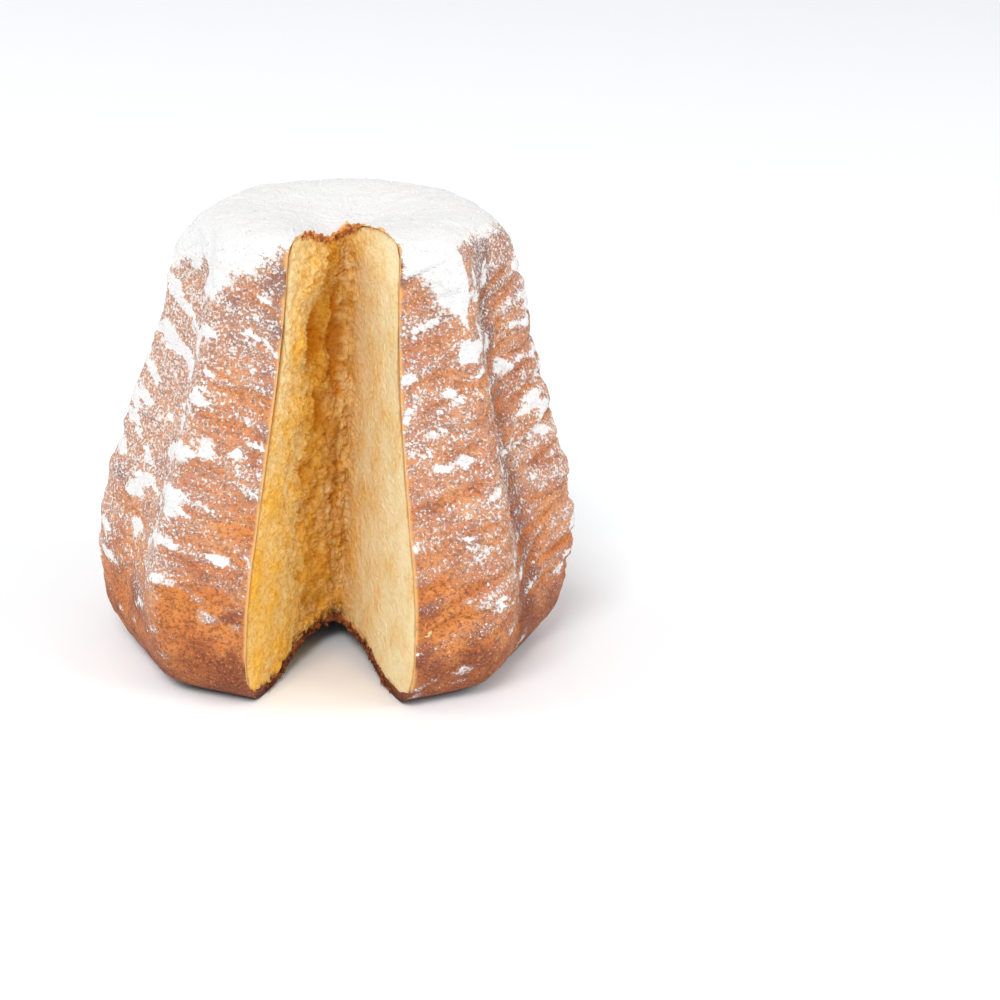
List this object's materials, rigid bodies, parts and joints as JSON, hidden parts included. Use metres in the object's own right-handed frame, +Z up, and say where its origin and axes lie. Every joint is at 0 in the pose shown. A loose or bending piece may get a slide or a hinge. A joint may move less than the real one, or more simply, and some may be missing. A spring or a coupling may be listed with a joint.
{
  "type": "pandoro",
  "caption": "Tall star-shaped sweet loaf dusted with icing sugar, standing on its wide end, with a wedge cut out from top to base down to its axis.",
  "frame": {"origin": "middle of the loaf's footprint box, on the surface it stands on", "axes": "+Z up from the wide base to the crown, -Y out through the middle of the cut-out wedge, +X to the right of someone who looks into the cut"},
  "size_m": [0.2242, 0.2042, 0.21],
  "materials": {
    "crust": "matte",
    "crumb": "matte",
    "icing_sugar": "matte"
  },
  "bodies": {
    "root": {"pandoro": "crust"}
  },
  "joints": []
}
